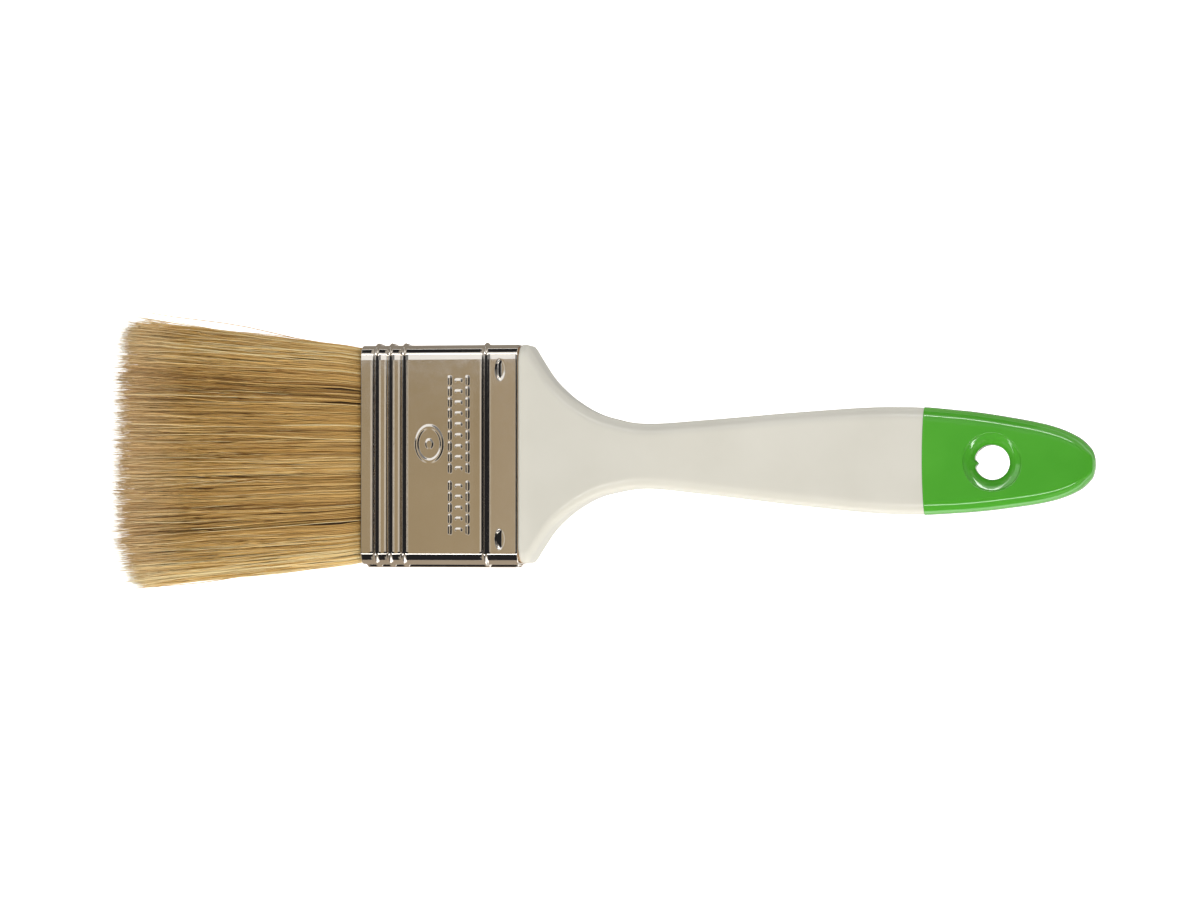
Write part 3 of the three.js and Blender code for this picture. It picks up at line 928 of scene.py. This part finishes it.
for node, material in (
    ("handle_core", wood),
    ("spacer_plug", wood),
    ("epoxy_set", resin),
    # the roots wear the same near-black painted shade
    ("bristle_roots_front", packed_hair_painted_shade),
    ("bristle_roots_back", packed_hair_painted_shade),
):
    wear(frame["nodes"][node], material)


# ---- Stage, light and camera ----
FLOOR_HEIGHT = -40 * MM
FLAG_HEIGHT = -12 * MM
CARD_HEIGHT = 1.0
WALL_AWAY = 3.0
WALL_SIZE = (1.7, 2.8)
WALL_OVER_FLOOR = 0.05
BEIGE = (1.0, 0.78, 0.46)
SAND = (1.0, 0.80, 0.52)
CREAM = (1.0, 0.91, 0.78)
IVORY = (1.0, 0.96, 0.88)
WHITE = (1, 1, 1)


def glowing(name, base, colour, strength):
    material, _, shader = new_material(name)
    set_sockets(shader, Base_Color=(base, base, base, 1), Roughness=1.0, Specular_IOR_Level=0.0)
    set_sockets(shader, Emission_Color=(*colour, 1), Emission_Strength=strength)
    return material


def floor():
    bpy.ops.mesh.primitive_plane_add(size=30, location=(0, 0, FLOOR_HEIGHT))
    obj = bpy.context.object
    obj.name = "floor"
    wear(obj, glowing("floor", 0.9, WHITE, 0.7))
    obj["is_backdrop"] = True


def facing(back):
    """The turn of a light or camera that looks along -back, with its Y as near to the world's Y as can be."""
    back = Vector(back).normalized()
    right = Vector((0, 1, 0)).cross(back).normalized()
    return Matrix((right, back.cross(right), back)).transposed()


def area_light(name, at, back, size, radiance, colour):
    light = bpy.data.lights.new(name, "AREA")
    light.shape = "RECTANGLE"
    light.size, light.size_y = size
    light.energy = radiance * math.pi * size[0] * size[1]
    light.color = colour
    obj = bpy.data.objects.new(name, light)
    bpy.context.scene.collection.objects.link(obj)
    obj.matrix_world = Matrix.Translation(at) @ facing(back).to_4x4()
    obj.visible_camera = False
    return obj


def softbox(name, at, back, size, radiance, colour=WHITE):
    """A light that reflections do not see."""
    area_light(name, at, back, size, radiance, colour).visible_glossy = False


def card(name, x, y, radiance, colour=WHITE):
    """A level card over the brush that only reflections see, from x[0] to x[1] and from y[0] to y[1]."""
    at = ((x[0] + x[1]) / 2, (y[0] + y[1]) / 2, CARD_HEIGHT)
    area_light(name, at, (0, 0, 1), (x[1] - x[0], y[1] - y[0]), radiance, colour).visible_diffuse = False


def wall(name, azimuth, radiance):
    """An upright card round the brush that only reflections see, for low views of the steel."""
    turn = math.radians(azimuth)
    out = Vector((math.cos(turn), math.sin(turn), 0))
    at = out * WALL_AWAY + Vector((0, 0, WALL_OVER_FLOOR + WALL_SIZE[0] / 2))
    area_light(name, at, out, WALL_SIZE, radiance, CREAM).visible_diffuse = False


def flag(name, x, y, colour):
    """A level card under the brush that only reflections see."""
    corners = [(x[0], y[0]), (x[1], y[0]), (x[1], y[1]), (x[0], y[1])]
    obj = mesh_object(name, [(*corner, FLAG_HEIGHT) for corner in corners], [(0, 1, 2, 3)])
    wear(obj, glowing(name, 0, colour, 1.0))
    obj.visible_camera = obj.visible_diffuse = obj.visible_shadow = obj.visible_transmission = False
    obj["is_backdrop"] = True


def world():
    """White to the camera, nearly black to reflections and a soft grey to everything else."""
    sky = bpy.data.worlds.new("studio")
    bpy.context.scene.world = sky
    sky.use_nodes = True
    tree = sky.node_tree
    nodes, links = tree.nodes, tree.links
    background = nodes["Background"]
    path = nodes.new("ShaderNodeLightPath")
    mix = nodes.new("ShaderNodeMix")
    mix.data_type = "RGBA"
    mix.inputs["A"].default_value = (0.42, 0.42, 0.42, 1)
    mix.inputs["B"].default_value = (0.02, 0.02, 0.022, 1)
    links.new(path.outputs["Is Glossy Ray"], mix.inputs["Factor"])
    seen = nodes.new("ShaderNodeMix")
    seen.data_type = "RGBA"
    seen.inputs["B"].default_value = (1, 1, 1, 1)
    links.new(path.outputs["Is Camera Ray"], seen.inputs["Factor"])
    links.new(mix.outputs["Result"], seen.inputs["A"])
    links.new(seen.outputs["Result"], background.inputs["Color"])


def camera():
    yaw, pitch = math.radians(9), math.radians(1)
    distance, lens = 0.7, 91.8
    aim = Vector((1.9 * MM, 1.05 * MM, MID))
    back = Vector((math.sin(yaw) * math.cos(pitch), -math.sin(pitch), math.cos(yaw) * math.cos(pitch)))
    data = bpy.data.cameras.new("camera")
    data.lens = lens
    data.sensor_width = 36
    data.clip_start, data.clip_end = 0.01, 50
    obj = bpy.data.objects.new("camera", data)
    obj.matrix_world = Matrix.Translation(aim + back * distance) @ facing(back).to_4x4()
    bpy.context.scene.collection.objects.link(obj)
    bpy.context.scene.camera = obj


def lights():
    softbox("softbox_top", (0, 0.13, 1.1), (0, 0, 1), (2.8, 0.66), 1.55)
    softbox("softbox_low", (0, -0.87, 0.5), (0, -0.87, 0.5), (1.6, 0.62), 2.35, IVORY)


def reflections():
    # over the steel's face: warm greys, with a paler strip towards the mouth and towards the shoulder
    card("card_beige_top", (-0.335, -0.222), (0.035, 0.075), 0.345, BEIGE)
    card("card_beige", (-0.335, -0.222), (0.0, 0.035), 0.36, BEIGE)
    card("card_beige_low", (-0.335, -0.222), (-0.56, 0.0), 0.375, BEIGE)
    card("card_beige_end", (-0.222, -0.18), (-0.56, 0.075), 0.41, SAND)
    card("strip_mouth", (-0.46, -0.335), (-0.3, 0.075), 0.62, CREAM)
    card("strip_shoulder", (-0.18, -0.11), (-0.3, 0.075), 0.68, CREAM)
    # beyond the +Y side: a white band for the steel, and bright strips for the rounded edges
    card("card_white", (-1.2, -0.185), (0.08, 0.9), 1.0)
    card("card_grey", (-0.185, 0.0), (0.08, 0.92), 0.22)
    card("card_grey_tip", (0.0, 1.2), (0.08, 0.87), 0.22)
    card("strip_high", (-1.2, 0.0), (0.92, 1.0), 7.0)
    card("strip_high_tip", (0.0, 1.2), (0.87, 1.0), 11.0)
    card("card_edge", (-1.2, 1.2), (1.0, 1.5), 0.8)
    # beyond the -Y side
    card("strip_low", (-1.2, 0.0), (-0.72, -0.63), 4.5)
    card("strip_low_tip", (0.0, 1.2), (-0.74, -0.63), 9.0)
    wall("wall_tip_back", 45, 0.42)
    wall("wall_bristle_back", 135, 0.42)
    wall("wall_bristle_front", 225, 0.34)
    wall("wall_tip_front", 315, 0.34)
    # what the upright sides mirror: darker at +Y, pale under the handle's -Y side, beige at the ferrule's
    flag("flag_top", (-0.3, 0.2), (0.03, 0.45), (0.3, 0.27, 0.23))
    flag("flag_under", (-0.016, 0.2), (0.0, 0.03), (0.3, 0.29, 0.27))
    flag("flag_pale", (-0.016, 0.2), (-0.06, 0.0), (0.74, 0.72, 0.68))
    flag("flag_low", (-1.0, -0.0165), (-3.0, -0.0262), (0.42, 0.35, 0.27))


floor()
world()
lights()
reflections()
camera()
bpy.context.scene.view_settings.view_transform = "Standard"

boxes = {"cad": cad_box, "visual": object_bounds()}
{k: [list(corner) for corner in v] for k, v in boxes.items()}
